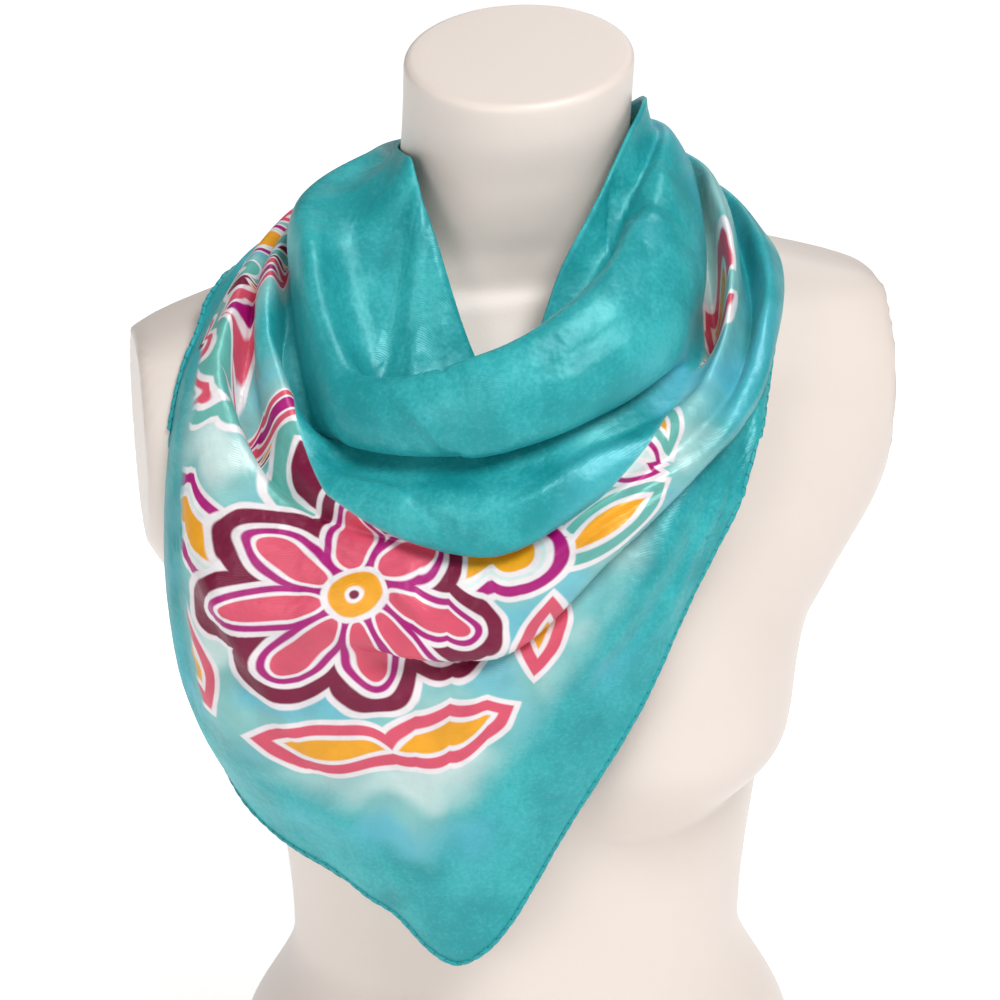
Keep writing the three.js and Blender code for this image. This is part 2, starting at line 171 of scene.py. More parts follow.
def form_skin():
    """Rings up the form: a point is the section's radius at its angle, tilted by the two leans. The
    rim of the neck turns over a quarter circle, and both ends are closed by rings down to the middle."""
    around, rim = 240, 4
    rise = np.concatenate([np.linspace(0, FORM_HEIGHT - rim, 190),
                           FORM_HEIGHT - rim + rim * np.sin(np.linspace(0.2, 1, 6) * np.pi / 2)])
    inset = np.concatenate([np.zeros(190), rim * (1 - np.cos(np.linspace(0.2, 1, 6) * np.pi / 2))])
    angle = 2 * np.pi * np.arange(around) / around
    height, turn = np.meshgrid(rise, angle, indexing="ij")
    section = form_section(height)
    r = form_radius(section, height, turn) - inset[:, None]
    cap = np.array([0.9, 0.7, 0.45, 0.2])[:, None]
    r = np.concatenate([r[:1] * cap[::-1], r, r[-1:] * cap])
    section = np.concatenate([section[:1].repeat(4, 0), section, section[-1:].repeat(4, 0)])
    height = np.concatenate([height[:1].repeat(4, 0), height, height[-1:].repeat(4, 0)])
    turn = turn[:1].repeat(len(r), 0)
    x, y = r * np.cos(turn), r * np.sin(turn)
    points = np.stack([x, y + section[..., 3], height + section[..., 5] * y + section[..., 6] * x], -1)
    count = len(r)
    faces = ring_faces(count, around)
    ends = np.array([[0, FORM[0, 4], 0], [0, FORM[-1, 4], FORM_HEIGHT]])
    points = np.concatenate([points.reshape(-1, 3), ends])
    j = np.arange(around)
    k, first, last = (j + 1) % around, count * around, count * around + 1
    bottom = np.stack([np.full(around, first), k, j], -1)
    top = np.stack([np.full(around, last), (count - 1) * around + j, (count - 1) * around + k], -1)
    return points, [*faces.tolist(), *bottom.tolist(), *top.tolist()]


class Value:
    """A number in a material. Arithmetic on it adds the Math nodes that work it out."""

    def __init__(self, shade, socket):
        self.shade, self.socket = shade, socket

    def math(self, operation, *others):
        return self.shade.node("ShaderNodeMath", {"operation": operation}, [self, *others])

    def flipped(self, operation, other):
        return self.shade.node("ShaderNodeMath", {"operation": operation}, [other, self])

    def __add__(self, other): return self.math("ADD", other)
    def __radd__(self, other): return self.math("ADD", other)
    def __sub__(self, other): return self.math("SUBTRACT", other)
    def __rsub__(self, other): return self.flipped("SUBTRACT", other)
    def __mul__(self, other): return self.math("MULTIPLY", other)
    def __rmul__(self, other): return self.math("MULTIPLY", other)
    def __truediv__(self, other): return self.math("DIVIDE", other)
    def __rtruediv__(self, other): return self.flipped("DIVIDE", other)
    def __abs__(self): return self.math("ABSOLUTE")


class Shade:
    """A material's node tree, with its Principled shader."""

    def __init__(self, name, **constants):
        self.material = bpy.data.materials.new(name)
        self.material.use_nodes = True
        self.tree = self.material.node_tree
        self.shader = self.tree.nodes["Principled BSDF"]
        for socket, value in constants.items():
            self.shader.inputs[socket.replace("_", " ")].default_value = value

    def put(self, socket, value):
        if isinstance(value, Value):
            self.tree.links.new(value.socket, socket)
        else:
            socket.default_value = value

    def node(self, kind, settings, sockets, out=0):
        """Adds a node of that kind, sets its settings first and then its sockets."""
        added = self.tree.nodes.new(kind)
        for key, value in settings.items():
            setattr(added, key, value)
        named = sockets.items() if isinstance(sockets, dict) else enumerate(sockets)
        for key, value in named:
            self.put(added.inputs[key], value)
        return Value(self, added.outputs[out])

    def split(self, vector):
        """The first two numbers of a vector."""
        parts = self.node("ShaderNodeSeparateXYZ", {}, [vector])
        return parts, Value(self, parts.socket.node.outputs[1])

    def mix(self, share, a, b):
        """Colour a where the share is 0 and b where it is 1."""
        return self.node("ShaderNodeMix", {"data_type": "RGBA"}, {0: share, 6: a, 7: b}, out=2)

    def step(self, value, low, high, first=0.0, second=1.0):
        """Eased change from first to second as the value goes from low to high."""
        return self.node("ShaderNodeMapRange", {"interpolation_type": "SMOOTHSTEP"},
                         [value, low, high, first, second])

    def noise(self, place, scale, detail=2.0, rough=0.5):
        return self.node("ShaderNodeTexNoise", {},
                         {"Vector": place, "Scale": scale, "Detail": detail, "Roughness": rough})

    def finish(self, **links):
        for socket, value in links.items():
            self.put(self.shader.inputs[socket.replace("_", " ")], value)
        return self.material


def paint(red, green, blue):
    """Linear colour from the 0 to 255 values that a colour chart gives."""
    c = np.array([red, green, blue]) / 255
    linear = np.where(c <= 0.04045, c / 12.92, ((c + 0.055) / 1.055) ** 2.4)
    return (*linear.tolist(), 1.0)


def plastic_finish():
    """Satin plastic: nearly even off-white, faint cloudy variation and a fine eggshell bump."""
    shade = Shade("form_plastic", Coat_Weight=0.12, Coat_Roughness=0.35)
    place = shade.node("ShaderNodeTexCoord", {}, {}, out="Object")
    cloud = shade.noise(place, 9.0, 3.0)
    colour = shade.mix(cloud, paint(231, 217, 208), paint(238, 226, 217))
    grain = shade.noise(place, 900.0, 2.0)
    bump = shade.node("ShaderNodeBump", {}, {"Strength": 0.12, "Distance": 0.0004, "Height": grain})
    return shade.finish(Base_Color=colour, Roughness=0.36 + 0.08 * cloud, Normal=bump)


form_piece = make_piece("torso_form", *form_skin())
form_piece.data.materials.append(plastic_finish())
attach(form_piece, "root")
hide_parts("dress_form")

# The front drape. One layer of printed silk twill, the square folded on its diagonal: the fold edge
# lies at the neck, three cowl rolls hang across the chest and the point falls over the waist.
SILK_WALL = 0.9
REST = 1.35
NAPE_END = 168
STATIONS = [-88, -80, -72, -62, -50, -18, 10, 32, 44, 56, 80]
# Folds from the neckline to the hem, a pair for each station: reach from the neck's axis, height
FOLDS = {
    "neckline": [[55, 505], [56, 506], [57, 507], [59, 496], [62, 478], [68, 410], [55, 464], [54, 494],
                 [54, 508], [55, 519], [58, 528]],
    "valley_one": [[80, 489], [83, 482], [87, 468], [90, 438], [92, 413], [80, 398], [66, 438], [60, 468],
                   [60, 484], [61, 498], [63, 512]],
    "roll_one_top": [[102, 487], [105, 482], [108, 476], [111, 446], [112, 424], [103, 441], [89, 466],
                     [78, 483], [74, 494], [71, 504], [70, 513]],
    "roll_one_face": [[109, 472], [112, 462], [115, 448], [119, 425], [122, 409], [119, 420], [111, 442],
                      [101, 456], [96, 460], [92, 463], [81, 494]],
    "roll_one_low": [[108, 456], [111, 442], [114, 412], [117, 401], [120, 392], [119, 397], [113, 413],
                     [105, 428], [96, 433], [91, 434], [80, 479]],
    "valley_two": [[112, 449], [116, 438], [120, 399], [118, 389], [106, 389], [103, 401], [97, 418],
                   [97, 420], [100, 417], [99, 418], [85, 472]],
    "roll_two_top": [[116, 459], [121, 454], [127, 430], [127, 402], [119, 381], [114, 387], [110, 402],
                     [107, 411], [109, 427], [104, 456], [88, 493]],
    "roll_two_face": [[121, 455], [128, 448], [135, 420], [134, 398], [131, 381], [130, 378], [123, 397],
                      [115, 414], [112, 430], [108, 450], [97, 479]],
    "roll_two_low": [[122, 449], [129, 436], [135, 399], [138, 385], [137, 374], [134, 355], [127, 389],
                     [121, 409], [115, 419], [111, 437], [98, 466]],
    "valley_three": [[125, 444], [133, 431], [144, 383], [142, 371], [136, 361], [121, 353], [125, 380],
                     [123, 403], [120, 411], [116, 428], [103, 458]],
    "roll_three_top": [[130, 451], [139, 445], [152, 416], [149, 378], [143, 360], [133, 344], [132, 377],
                       [129, 399], [126, 420], [122, 448], [109, 469]],
    "roll_three_face": [[136, 447], [148, 436], [163, 406], [161, 367], [152, 347], [140, 328], [136, 368],
                        [132, 395], [132, 413], [128, 439], [117, 461]],
    "roll_three_low": [[140, 441], [156, 426], [172, 386], [170, 348], [159, 326], [138, 306], [132, 357],
                       [129, 389], [129, 403], [127, 427], [121, 454]],
    "valley_four": [[143, 438], [160, 421], [178, 360], [175, 324], [161, 306], [123, 311], [119, 354],
                    [118, 385], [118, 398], [117, 421], [115, 449]],
    "bib_top": [[145.5, 435], [163.5, 415], [181, 318], [176, 298], [160, 286], [135, 292], [127, 339],
                [123, 376], [122, 391], [120, 413], [117, 445]],
    "bib_middle": [[148, 433], [166, 410], [177, 268], [171, 250], [156, 240], [136, 252], [130, 310],
                   [128, 359], [125, 382], [122, 408], [119, 444]],
}
# Hem from one shoulder round the point to the other: azimuth, reach, height
HEM = np.array([
    [-88, 151, 431.5], [-84, 157.5, 424.5], [-80, 169, 404], [-77.5, 178, 360], [-75.5, 179, 318],
    [-73, 169, 262], [-70, 158, 218], [-62, 146, 198], [-50, 136, 186], [-38, 131, 164], [-30, 128, 150],
    [-24, 127, 144], [-17, 126, 156], [-11, 124, 176], [10, 124, 256], [32, 127, 336], [44, 127, 376],
    [56, 124, 402], [68, 121, 434], [80, 121, 444],
], float)
HEM_PULL = [1, 0.6, 0.3, 0.12]
# Gathers over the back: azimuth, inner reach, outer reach, top (right), top (left), low, pleat depth
GATHERS = [
    [118, 60, 126, 514, 502, 449, 4],
    [150, 68, 106, 500, 500, 452, 2.6],
    [174, 76, 96, 490, 490, 462, 1],
]
PLEATS = np.array([0, -1, 1, 0.6, -0.4, -1, 1, 0.6, -0.4, -1, 1, 0.6, -0.4, -1, 0.3, 0.2, 0])
TIP = -24
# Columns of the grid: from azimuth, to azimuth, count. Rows of the grid between folds, from the neckline
COLUMN_SPANS = [[-NAPE_END, -92, 46], [-92, -64, 44], [-64, -30, 38], [-30, -18, 20], [-18, 84, 116],
                [84, NAPE_END, 48]]
ROW_COUNTS = [7, 7, 8, 8, 8, 8, 8, 8, 8, 8, 8, 8, 8, 9, 13, 17]
# Rounds of easing along the neckline and along the hem, and the lift of the hem left of the point
NECK_EASE, POINT_EASE = 14, 18
DRAWN_UP = {"azimuth": -37, "wide": 5, "by": 4.5}
# The cloth is unrolled round a mean reach of the chest; the square's left edge lies at this slope
MEAN_REACH = 127
EDGE_SLOPE = math.radians(56)
CREASE_DEPTH = 2
FLUTTER = {"depth": 1.6, "wave": 15, "slant": 0.02, "fade": 16}


def hem_at(azimuth):
    """Reach and height of the hem, straight between its rows."""
    return np.stack([np.interp(azimuth, HEM[:, 0], HEM[:, k]) for k in (1, 2)], -1)


def fold_curve():
    """Every fold's reach and height as one smooth curve over the azimuth, with the gathers of the
    back added: evenly spaced pleats between the inner and outer reach, in and out by the pleat depth."""
    folds = np.array(list(FOLDS.values()), float)
    rows = [np.concatenate([[azimuth], folds[:, i].ravel(), hem_at(azimuth)])
            for i, azimuth in enumerate(STATIONS)]
    k = np.linspace(0, 1, len(PLEATS))
    for side in (-1, 1):
        for azimuth, inner, outer, top_right, top_left, low, depth in GATHERS:
            top = top_right if side > 0 else top_left
            pairs = np.stack([inner + (outer - inner) * k + 0.6 * depth * PLEATS,
                              top + (low - top) * k + depth * PLEATS], -1)
            rows.append(np.concatenate([[side * azimuth], pairs.ravel()]))
    return smooth_curve(np.array(sorted(rows, key=lambda row: row[0])))


def fold_points(azimuth):
    """Points of all folds at each azimuth, the rows near the hem pulled along with it."""
    pairs = fold_curve()(azimuth).reshape(len(azimuth), -1, 2)
    at_front = (azimuth >= HEM[0, 0]) & (azimuth <= HEM[-1, 0])
    shift = np.where(at_front[:, None], hem_at(azimuth) - pairs[:, -1], 0)
    for k, share in enumerate(HEM_PULL):
        pairs[:, -1 - k] += share * shift
    turn = np.radians(azimuth)[:, None]
    return np.stack([pairs[..., 0] * np.sin(turn), -pairs[..., 0] * np.cos(turn), pairs[..., 1]], -1)


def through_folds(folds, rows):
    """Each column's curve through its folds, a Catmull-Rom cubic, at row places from 0 to the last."""
    last = folds.shape[1] - 1
    i = np.minimum(rows.astype(int), last - 1)
    s = (rows - i)[:, None]
    pick = [folds[:, np.clip(i + k, 0, last)] for k in (-1, 0, 1, 2)]
    return 0.5 * ((-s + 2 * s**2 - s**3) * pick[0] + (2 - 5 * s**2 + 3 * s**3) * pick[1]
                  + (s + 4 * s**2 - 3 * s**3) * pick[2] + (s**3 - s**2) * pick[3])


def ease(grid, rounds, axis):
    """Softens a grid by moving every inner line a quarter of the way towards its two neighbours."""
    g = np.moveaxis(grid, axis, 0).copy()
    for _ in range(rounds):
        g[1:-1] = 0.5 * g[1:-1] + 0.25 * (g[:-2] + g[2:])
    return np.moveaxis(g, 0, axis)


def grid_normals(grid):
    """Unit normals of a grid of points, across its two directions, outwards at the front."""
    along, down = np.gradient(grid, axis=0), np.gradient(grid, axis=1)
    n = np.cross(down, along)
    return n / np.maximum(np.linalg.norm(n, axis=-1, keepdims=True), 1e-9)


def run_length(grid, axis):
    """Length along the grid's lines from their first point."""
    pieces = np.linalg.norm(np.diff(grid, axis=axis), axis=-1)
    start = np.zeros_like(np.take(pieces, [0], axis=axis))
    return np.concatenate([start, np.cumsum(pieces, axis=axis)], axis=axis)


column_azimuths = np.concatenate([[-NAPE_END]]
                                 + [np.linspace(a, b, n + 1)[1:] for a, b, n in COLUMN_SPANS])
row_places = np.concatenate([k + np.arange(n) / n for k, n in enumerate(ROW_COUNTS)]
                            + [[len(ROW_COUNTS)]])
silk = through_folds(fold_points(column_azimuths), row_places)
silk = lift_clear(silk, REST)
edge = silk[:, -1].copy()
silk = ease(ease(silk, 3, 1), 2, 0)
silk[:, -1] = edge
# The point is softly rounded: the rows towards the hem take the form of a much eased copy
near_hem = np.clip(row_places - (len(ROW_COUNTS) - 1), 0, 1)[None, :, None]
near_neck = np.clip(1 - row_places, 0, 1)[None, :, None]
silk = silk + near_neck * (ease(silk, NECK_EASE, 0) - silk)
silk = silk + near_hem * (ease(silk, POINT_EASE, 0) - silk)
# and the edge on its left is drawn up a little before it
drawn_up = DRAWN_UP["by"] * np.exp(-((column_azimuths - DRAWN_UP["azimuth"]) / DRAWN_UP["wide"]) ** 2)
silk[..., 2] += near_hem[..., 0] * drawn_up[:, None]

# Unrolled place of each point: distance round the form from the point's column, and height above the
# hem's lowest point measured along the cloth
rise = run_length(silk, 1)
rise = rise[:, -1:] - rise
hem_height = np.where((column_azimuths >= HEM[0, 0]) & (column_azimuths <= HEM[-1, 0]),
                      hem_at(column_azimuths)[:, 1], silk[:, -1, 2])
across = np.broadcast_to((MEAN_REACH * np.radians(column_azimuths - TIP))[:, None], rise.shape)
above = rise + hem_height[:, None] - HEM[:, 2].min()

# Creases, each a soft trough or ridge: from azimuth, from fold, to azimuth, to fold, bow, width, height
CREASES = [
    [-58, 2.1, -20, 3.0, 6, 3.0, -1.1],
    [-40, 2.6, -12, 3.7, -4, 3.2, 0.9],
    [-12, 2.9, 34, 3.1, 5, 2.6, -0.9],
    [4, 2.3, 44, 2.6, -5, 3.4, 0.9],
    [20, 3.3, 60, 3.1, 4, 2.6, -0.8],
    [-66, 0.5, -40, 1.8, 5, 4.5, 1.4],
    [-74, 1.2, -50, 2.2, 4, 3.5, -1.2],
    [-52, 0.3, -32, 1.5, -4, 4.0, -1.1],
    [46, 0.6, 24, 1.7, 3, 3.0, -0.9],
    [58, 1.4, 30, 2.2, 4, 3.2, 0.9],
    [-50, 6.6, -8, 7.5, -6, 3.2, -1.0],
    [-24, 7.0, 20, 7.4, 4, 3.0, 0.9],
    [0, 6.3, 38, 7.2, -5, 2.6, -0.8],
    [-60, 10.4, -26, 11.6, -5, 4.0, -1.2],
    [-44, 11.3, -14, 12.0, 5, 4.0, 1.0],
    [-10, 10.6, 26, 11.3, 5, 3.0, -1.0],
    [6, 12.0, 40, 11.6, -4, 3.0, 0.9],
    [-72, 12.6, -50, 15.0, 8, 6.0, 1.6],
    [-64, 13.3, -38, 15.3, -6, 5.5, -1.4],
    [-20, 13.6, -34, 15.5, 5, 7.0, 1.4],
    [12, 13.8, -6, 15.2, -5, 6.0, -1.3],
    [40, 14.1, 8, 15.3, 4, 5.0, 1.2],
    [56, 14.0, 24, 15.5, -3, 3.6, -1.0],
    [-72, 13.5, -20, 12.7, -6, 10, 1.7],
    [-68, 14.3, -16, 13.5, -6, 9, -1.4],
    [30, 12.8, -14, 14.9, 5, 9, 1.5],
    [42, 13.3, 0, 15.2, 5, 8, -1.4],
    [64, 13.6, 30, 15.3, 3, 6, 1.2],
]


def crease_height(across, above):
    """Sum over the creases of height times a bell across a bowed path, fading to nought at its ends.
    Paths and distances lie in the unrolled cloth."""
    total = np.zeros_like(across)
    col, row = np.arange(len(column_azimuths)), np.arange(len(row_places))
    t = np.linspace(0, 1, 25)
    for from_az, from_row, to_az, to_row, bow, width, height in CREASES:
        ends = []
        for az, fold in ((from_az, from_row), (to_az, to_row)):
            c = int(round(float(np.interp(az, column_azimuths, col))))
            r = int(round(float(np.interp(fold, row_places, row))))
            ends.append(np.array([across[c, r], above[c, r]]))
        run = ends[1] - ends[0]
        aside = np.array([-run[1], run[0]]) / np.linalg.norm(run)
        path = ends[0] + t[:, None] * run + (bow * 4 * t * (1 - t))[:, None] * aside
        gap = np.hypot(across[..., None] - path[:, 0], above[..., None] - path[:, 1])
        near = gap.argmin(-1)
        fading = (4 * t * (1 - t))[near] ** 0.7
        total += CREASE_DEPTH * height * np.exp(-(gap.min(-1) / width) ** 2) * fading
    return total


silk_out = grid_normals(silk)
# The free edge flutters softly along its length
flutter = (FLUTTER["depth"] * np.sin(across / FLUTTER["wave"] + FLUTTER["slant"] * above)
           * np.exp(-rise / FLUTTER["fade"]))
silk = silk + (crease_height(across, above) + flutter)[..., None] * silk_out
silk = lift_clear(silk, REST, 3)
silk_out = grid_normals(silk)

# Flat cloth, from the square's hanging corner: run along the left edge, run along the right edge
left_run = -across * math.sin(EDGE_SLOPE) + above * math.cos(EDGE_SLOPE)
right_run = across * math.cos(EDGE_SLOPE) + above * math.sin(EDGE_SLOPE)
# Past the ends of the real hem each run is counted from the cloth's own lower edge
BACK_START, BACK_FADE = {"left": -88, "right": 32}, 30
back_right = np.clip((column_azimuths - BACK_START["right"]) / BACK_FADE, 0, 1)[:, None]
back_left = np.clip((BACK_START["left"] - column_azimuths) / BACK_FADE, 0, 1)[:, None]
left_run = left_run - back_right * left_run[:, -1:]
right_run = right_run - back_left * right_run[:, -1:]

# Distance from the real hem in the unrolled cloth, a block of columns at a time to save memory
BLOCK = 24
hem_line = np.stack([across[:, -1], above[:, -1]], -1)
from_hem = np.empty_like(across)
for k in range(0, len(across), BLOCK):
    there = np.stack([across[k:k + BLOCK], above[k:k + BLOCK]], -1)
    from_hem[k:k + BLOCK] = np.linalg.norm(there[:, :, None] - hem_line, axis=-1).min(-1)


def silk_shell(name, middle, out, wall, flat, marks):
    """A closed shell round a grid of middle points: each column is a ring down the outer face, round
    the hem edge, up the inner face and round the fold edge, and the end columns are closed flat."""
    n, m = middle.shape[:2]
    half = np.broadcast_to(wall / 2, middle.shape[:2])[..., None]
    down, up = middle[:, -1] - middle[:, -2], middle[:, 0] - middle[:, 1]
    down /= np.linalg.norm(down, axis=-1, keepdims=True)
    up /= np.linalg.norm(up, axis=-1, keepdims=True)
    outer, inner = middle + half * out, middle - half * out
    low, high = middle[:, -1] + half[:, -1] * down, middle[:, 0] + half[:, 0] * up
    rings = np.concatenate([outer, low[:, None], inner[:, ::-1], high[:, None]], 1)

    def round_ring(values):
        return np.concatenate([values, values[:, -1:], values[:, ::-1], values[:, :1]], 1).reshape(-1)

    count = 2 * m + 2
    j = np.arange(m - 1)
    quads, corners = [ring_faces(n, count)], []
    for start, turn in ((0, 1), ((n - 1) * count, -1)):
        quads.append((start + np.stack([j, j + 1, 2 * m - 1 - j, 2 * m - j], -1))[:, ::turn])
        corners += [start + np.array(k)[::turn] for k in ([m - 1, m, m + 1], [0, 2 * m, 2 * m + 1])]
    faces = np.concatenate(quads).tolist() + [k.tolist() for k in corners]
    spread = np.stack([round_ring(run) for run in flat], -1)
    marks = {mark: round_ring(values) for mark, values in marks.items()}
    return make_piece(name, rings.reshape(-1, 3), faces, spread, marks)


def ramp01(value, low, high):
    """Eased 0 to 1 between low and high, for whole arrays."""
    t = np.clip((value - low) / (high - low), 0, 1)
    return t * t * (3 - 2 * t)


# The printed band starts below the second roll at the front and at the first roll on the shoulders
# Azimuth, fold where the band starts
BAND_TOP = np.array([[-168, 3.5], [-100, 3.5], [-75, 4.6], [-50, 8], [-20, 8.6], [5, 8.6], [25, 6.6],
                     [45, 5], [60, 3.9], [80, 3], [168, 3]])
band_top = np.interp(column_azimuths, *BAND_TOP.T)[:, None]
print_here = ramp01(np.broadcast_to(row_places, across.shape), band_top - 0.25, band_top + 0.25)
print_here = print_here * ramp01(from_hem, 8, 24)
# At the neck the cloth is thicker, where the square is folded over
fold_wall = SILK_WALL + 1.2 * np.exp(-(run_length(silk, 1) / 2.5) ** 2)
silk_piece = silk_shell("front_silk", silk, silk_out, fold_wall, (left_run, right_run),
                        {"printed": print_here})

TEAL, DEEP_TEAL, PALE_TEAL = paint(36, 172, 177), paint(18, 148, 154), paint(108, 222, 222)
BLUE_WASH, AQUA_WASH, RESIST = paint(96, 190, 212), paint(138, 200, 198), paint(243, 236, 238)
MAGENTA, BURGUNDY, CORAL = paint(176, 4, 122), paint(124, 0, 56), paint(224, 84, 110)
AMBER, SEA_GREEN, MIST = paint(246, 170, 26), paint(104, 184, 174), paint(214, 234, 230)


def distance(x, y):
    """Distance from nought, as the root of the sum of squares."""
    return (x * x + y * y).math("SQRT")


def turned(x, y, middle, degrees):
    """Place measured from a motif's middle, along its own two directions."""
    c, s = math.cos(math.radians(degrees)), math.sin(math.radians(degrees))
    x, y = x - middle[0], y - middle[1]
    return x * c + y * s, y * c - x * s


def leaf_edge(x, y, length, wide):
    """Pointed leaf between two equal arcs: distance from the far arc's middle less its radius."""
    radius = (length**2 + wide**2) / (4 * wide)
    return distance(abs(x) + (radius - wide / 2), y) - radius


def petal_edge(x, y, count, middle, long, wide):
    """Ovals set round a middle: the angle is folded into half a petal, and the oval's edge is told
    from its scaled distance over that distance's slope."""
    aside = x.math("ARCTAN2", y).math("PINGPONG", math.pi / count)
    r = distance(x, y)
    along, off = r * aside.math("COSINE") - middle, r * aside.math("SINE")
    scaled = distance(along / long, off / wide)
    return scaled * (scaled - 1) / distance(along / long**2, off / wide**2)


# Middle of the printed band from the hem, and length after which the pattern turns back
BAND_MIDDLE, BAND_REPEAT = 138, 130


def silk_finish():
    """Dyed silk twill: teal with soft mottling, and a border band of ordinary blossoms, leaves and
    drops in clear colours, each shape inside an off-white resist line. The band is laid out in the flat
    cloth: x runs along the hem and turns back at both ends of a repeat, y runs in from the hem."""
    shade = Shade("printed_silk", Sheen_Weight=0.08, Sheen_Roughness=0.32, Metallic=0.1)
    flat = shade.node("ShaderNodeUVMap", {"uv_map": "flat"}, {})
    left, right = shade.split(flat)
    wobble = (shade.noise(flat, 26.0, 2.0) - 0.5) * 9
    left, right = left * 1000 + wobble, right * 1000 - wobble
    inward, along = left.math("MINIMUM", right), left.math("MAXIMUM", right)
    x, y = (along - BAND_MIDDLE).math("PINGPONG", BAND_REPEAT), inward - BAND_MIDDLE

    place = shade.node("ShaderNodeTexCoord", {}, {}, out="Object")
    patches = shade.noise(place, 26.0, 3.0, 0.6)
    speckle = shade.noise(place, 520.0, 2.0, 0.6)
    plain = shade.mix(shade.step(patches, 0.3, 0.72), DEEP_TEAL, TEAL)
    plain = shade.mix(shade.step(speckle * 0.5 + patches * 0.5, 0.42, 0.68) * 0.22, plain, PALE_TEAL)
    washes = shade.noise(flat, 17.0, 2.0)
    edge_wash = shade.step(inward, 6, 48) * shade.step(washes, 0.44, 0.6)
    plain = shade.mix(edge_wash * shade.step(inward, 130, 60) * 0.7, plain, BLUE_WASH)
    colour = shade.mix(shade.step(washes, 0.5, 0.66) * 0.7, AQUA_WASH, BLUE_WASH)
    colour = shade.mix(shade.step(washes, 0.5, 0.36) * 0.8, colour, MIST)

    printed = shade.node("ShaderNodeAttribute", {"attribute_name": "printed"}, {}, out="Fac")
    band = shade.step(inward, 34, 64) * shade.step(inward, 246, 216) * printed
    washed = colour = shade.mix(band, plain, colour)

    def draw(colour, edge, fill, line=1.15):
        """Fills the inside of an edge and lays a resist line on it."""
        colour = shade.mix(shade.step(edge, 0.5, -0.5), colour, fill)
        return shade.mix(shade.step(abs(edge), line + 0.6, line - 0.4), colour, RESIST)

    garland = 20 + 42 * (x * (math.pi / BAND_REPEAT)).math("SINE")
    colour = draw(colour, abs(y - garland) - 7.5, BURGUNDY)
    colour = draw(colour, distance((x - 11).math("PINGPONG", 11), y - garland) - 3, AMBER, 1.0)
    for middle, degrees, length, wide, outer, inner in (
            ((58, 34), -64, 88, 36, SEA_GREEN, BURGUNDY), ((104, 66), 58, 68, 28, CORAL, MAGENTA),
            ((30, 74), 50, 60, 25, AMBER, CORAL), ((36, -66), -62, 66, 28, CORAL, AMBER),
            ((98, -58), 56, 64, 27, SEA_GREEN, AMBER), ((126, -52), 4, 44, 18, MAGENTA, MIST)):
        lx, ly = turned(x, y, middle, degrees)
        edge = leaf_edge(lx, ly, length, wide)
        colour = draw(colour, edge, outer)
        colour = draw(colour, edge + 0.27 * wide, inner, 1.0)
    lx, ly = turned(x, y, (72, -22), 52)
    bent = lx + 0.011 * ly * ly
    drop = (distance(bent, ly + 4) - 23).math("MINIMUM", leaf_edge(bent, ly - 16, 88, 38))
    for inset, fill in ((0, MAGENTA), (7, MIST), (11, AMBER)):
        colour = draw(colour, drop + inset, fill, 1.1)
    for middle, count, reach, long, wide, outer, inner in (
            ((0, 0), 8, 29, 23, 11.5, MAGENTA, CORAL), ((130, 8), 6, 20, 16, 11, CORAL, BURGUNDY)):
        bx, by = turned(x, y, middle, 0)
        edge = petal_edge(bx, by, count, reach, long, wide)
        colour = draw(colour, edge - 0.75 * wide, BURGUNDY if count > 6 else SEA_GREEN)
        colour = draw(colour, edge, outer)
        colour = draw(colour, edge + 0.45 * wide, inner, 0.8)
        heart = distance(bx, by)
        colour = draw(colour, heart - 0.32 * reach - 2, AMBER)
        colour = draw(colour, heart - 3, BURGUNDY, 0.8)
    colour = shade.mix(shade.step(printed, 0.35, 0.6), washed, colour)
    cloud = shade.mix(shade.step(shade.noise(flat, 60.0, 3.0), 0.3, 0.7),
                      (0.8, 0.8, 0.82, 1), (1, 1, 1, 1))
    colour = shade.node("ShaderNodeMix", {"data_type": "RGBA", "blend_type": "MULTIPLY"},
                        {0: band * 0.7, 6: colour, 7: cloud}, out=2)

    puckers = shade.noise(place, 52.0, 3.0, 0.5)
    slanted = shade.node("ShaderNodeMapping", {},
                         {"Vector": place, "Rotation": (0.3, 0.8, 0.2), "Scale": (1, 1, 0.3)})
    wrinkles = abs(shade.noise(slanted, 34.0, 1.0, 0.4) - 0.5)
    twill = shade.node("ShaderNodeTexWave", {"wave_type": "BANDS", "bands_direction": "DIAGONAL"},
                       {"Vector": flat, "Scale": 420.0, "Distortion": 1.5, "Detail": 1.0}, out="Fac")
    weave = shade.node("ShaderNodeBump", {},
                       {"Strength": 0.2, "Distance": 0.0002, "Height": twill + speckle})
    bump = shade.node("ShaderNodeBump", {},
                      {"Strength": 0.36, "Distance": 0.006, "Height": puckers + wrinkles,
                       "Normal": weave})
    return shade.finish(Base_Color=colour, Roughness=0.35 + 0.1 * speckle, Normal=bump)


silk_cloth = silk_finish()
silk_piece.data.materials.append(silk_cloth)
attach(silk_piece, "root")
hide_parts("front_drape")

# The hem of the front. The edge of the square is rolled over between the fingers and whipped down by
# hand, a small stitch every six millimetres, so the roll is a little uneven and pinched at each stitch.
HEM_ROLL = 1.25
STITCH = 6


